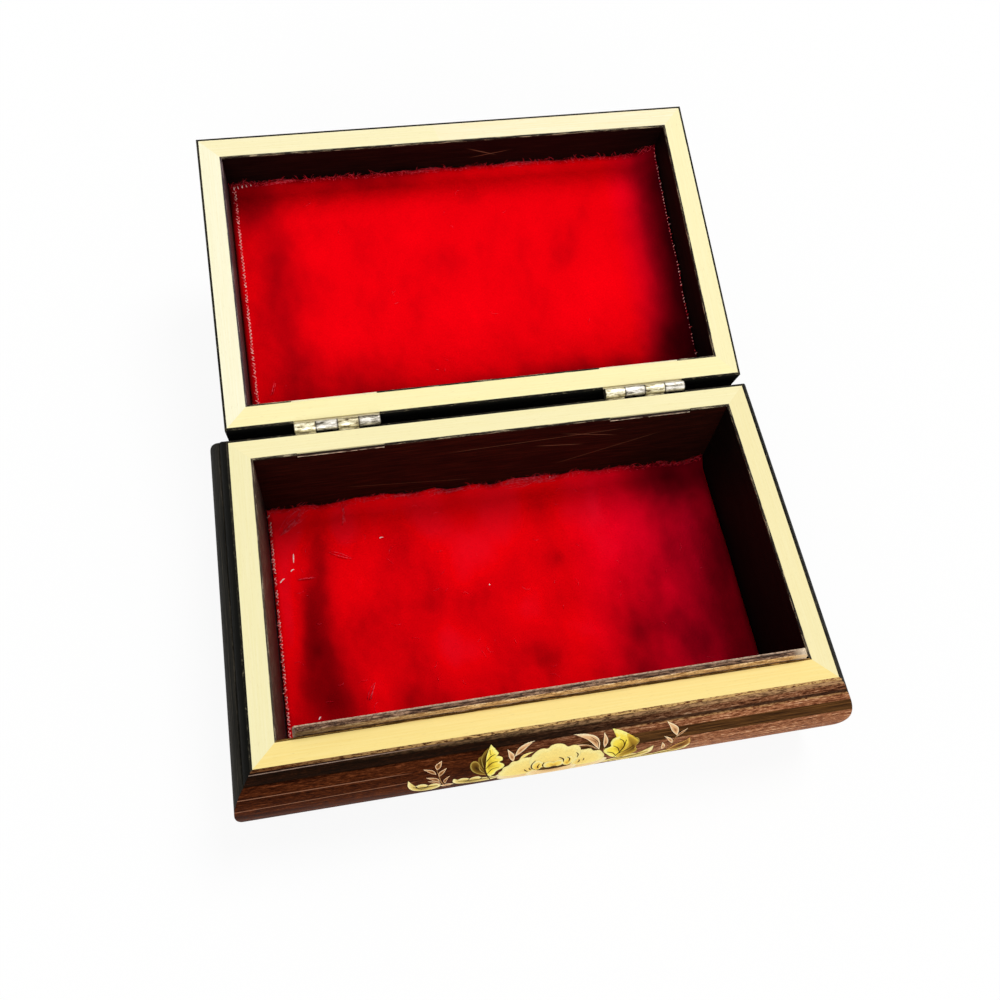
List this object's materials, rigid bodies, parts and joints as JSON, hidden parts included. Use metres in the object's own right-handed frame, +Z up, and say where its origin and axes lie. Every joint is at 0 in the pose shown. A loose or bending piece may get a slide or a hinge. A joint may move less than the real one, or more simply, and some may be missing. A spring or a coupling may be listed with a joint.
{
  "type": "jewelry box",
  "caption": "Rectangular wooden keepsake box with bowed sides, a pale inlaid rim, cloth linings and a hinged lid that opens almost flat.",
  "frame": {"origin": "middle of the base's underside, where the box rests", "axes": "+X to the box's right as seen from its front, +Y from front to back, towards the hinges and the open lid, +Z up"},
  "size_m": [0.1696, 0.2025, 0.0619],
  "materials": {
    "dark_wood": "gloss lacquer",
    "bottom_wood": "bare board",
    "lip_wood": "worn dark stain",
    "pale_strip": "satin lacquer",
    "plush": "cut pile",
    "hinge_steel": "worn plating"
  },
  "bodies": {
    "base": {"base_front_wall": "dark_wood", "base_back_wall": "dark_wood", "base_left_wall": "dark_wood", "base_right_wall": "dark_wood", "base_bottom_board": "bottom_wood", "base_front_rim_strip": "pale_strip", "base_back_rim_strip": "pale_strip", "base_left_rim_strip": "pale_strip", "base_right_rim_strip": "pale_strip", "locating_lip": "lip_wood", "base_lining": "plush", "hinge_left_base_leaf": "hinge_steel", "hinge_right_base_leaf": "hinge_steel", "hinge_left_pin": "hinge_steel", "hinge_right_pin": "hinge_steel", "base_leaf_brads": "hinge_steel"},
    "lid": {"lid_front_wall": "dark_wood", "lid_back_wall": "dark_wood", "lid_left_wall": "dark_wood", "lid_right_wall": "dark_wood", "lid_top_board": "dark_wood", "lid_front_left_rim_strip": "pale_strip", "lid_front_right_rim_strip": "pale_strip", "lid_back_rim_strip": "pale_strip", "lid_left_rim_strip": "pale_strip", "lid_right_rim_strip": "pale_strip", "lid_lining": "plush", "hinge_left_lid_leaf": "hinge_steel", "hinge_right_lid_leaf": "hinge_steel", "lid_leaf_brads": "hinge_steel"}
  },
  "joints": [
    {"name": "lid_hinge", "type": "hinge", "parent": "base", "child": "lid", "pos_m": [0, 0.04935, 0.04115], "axis": [1, 0, 0], "range_deg": [0, 167.54]}
  ]
}
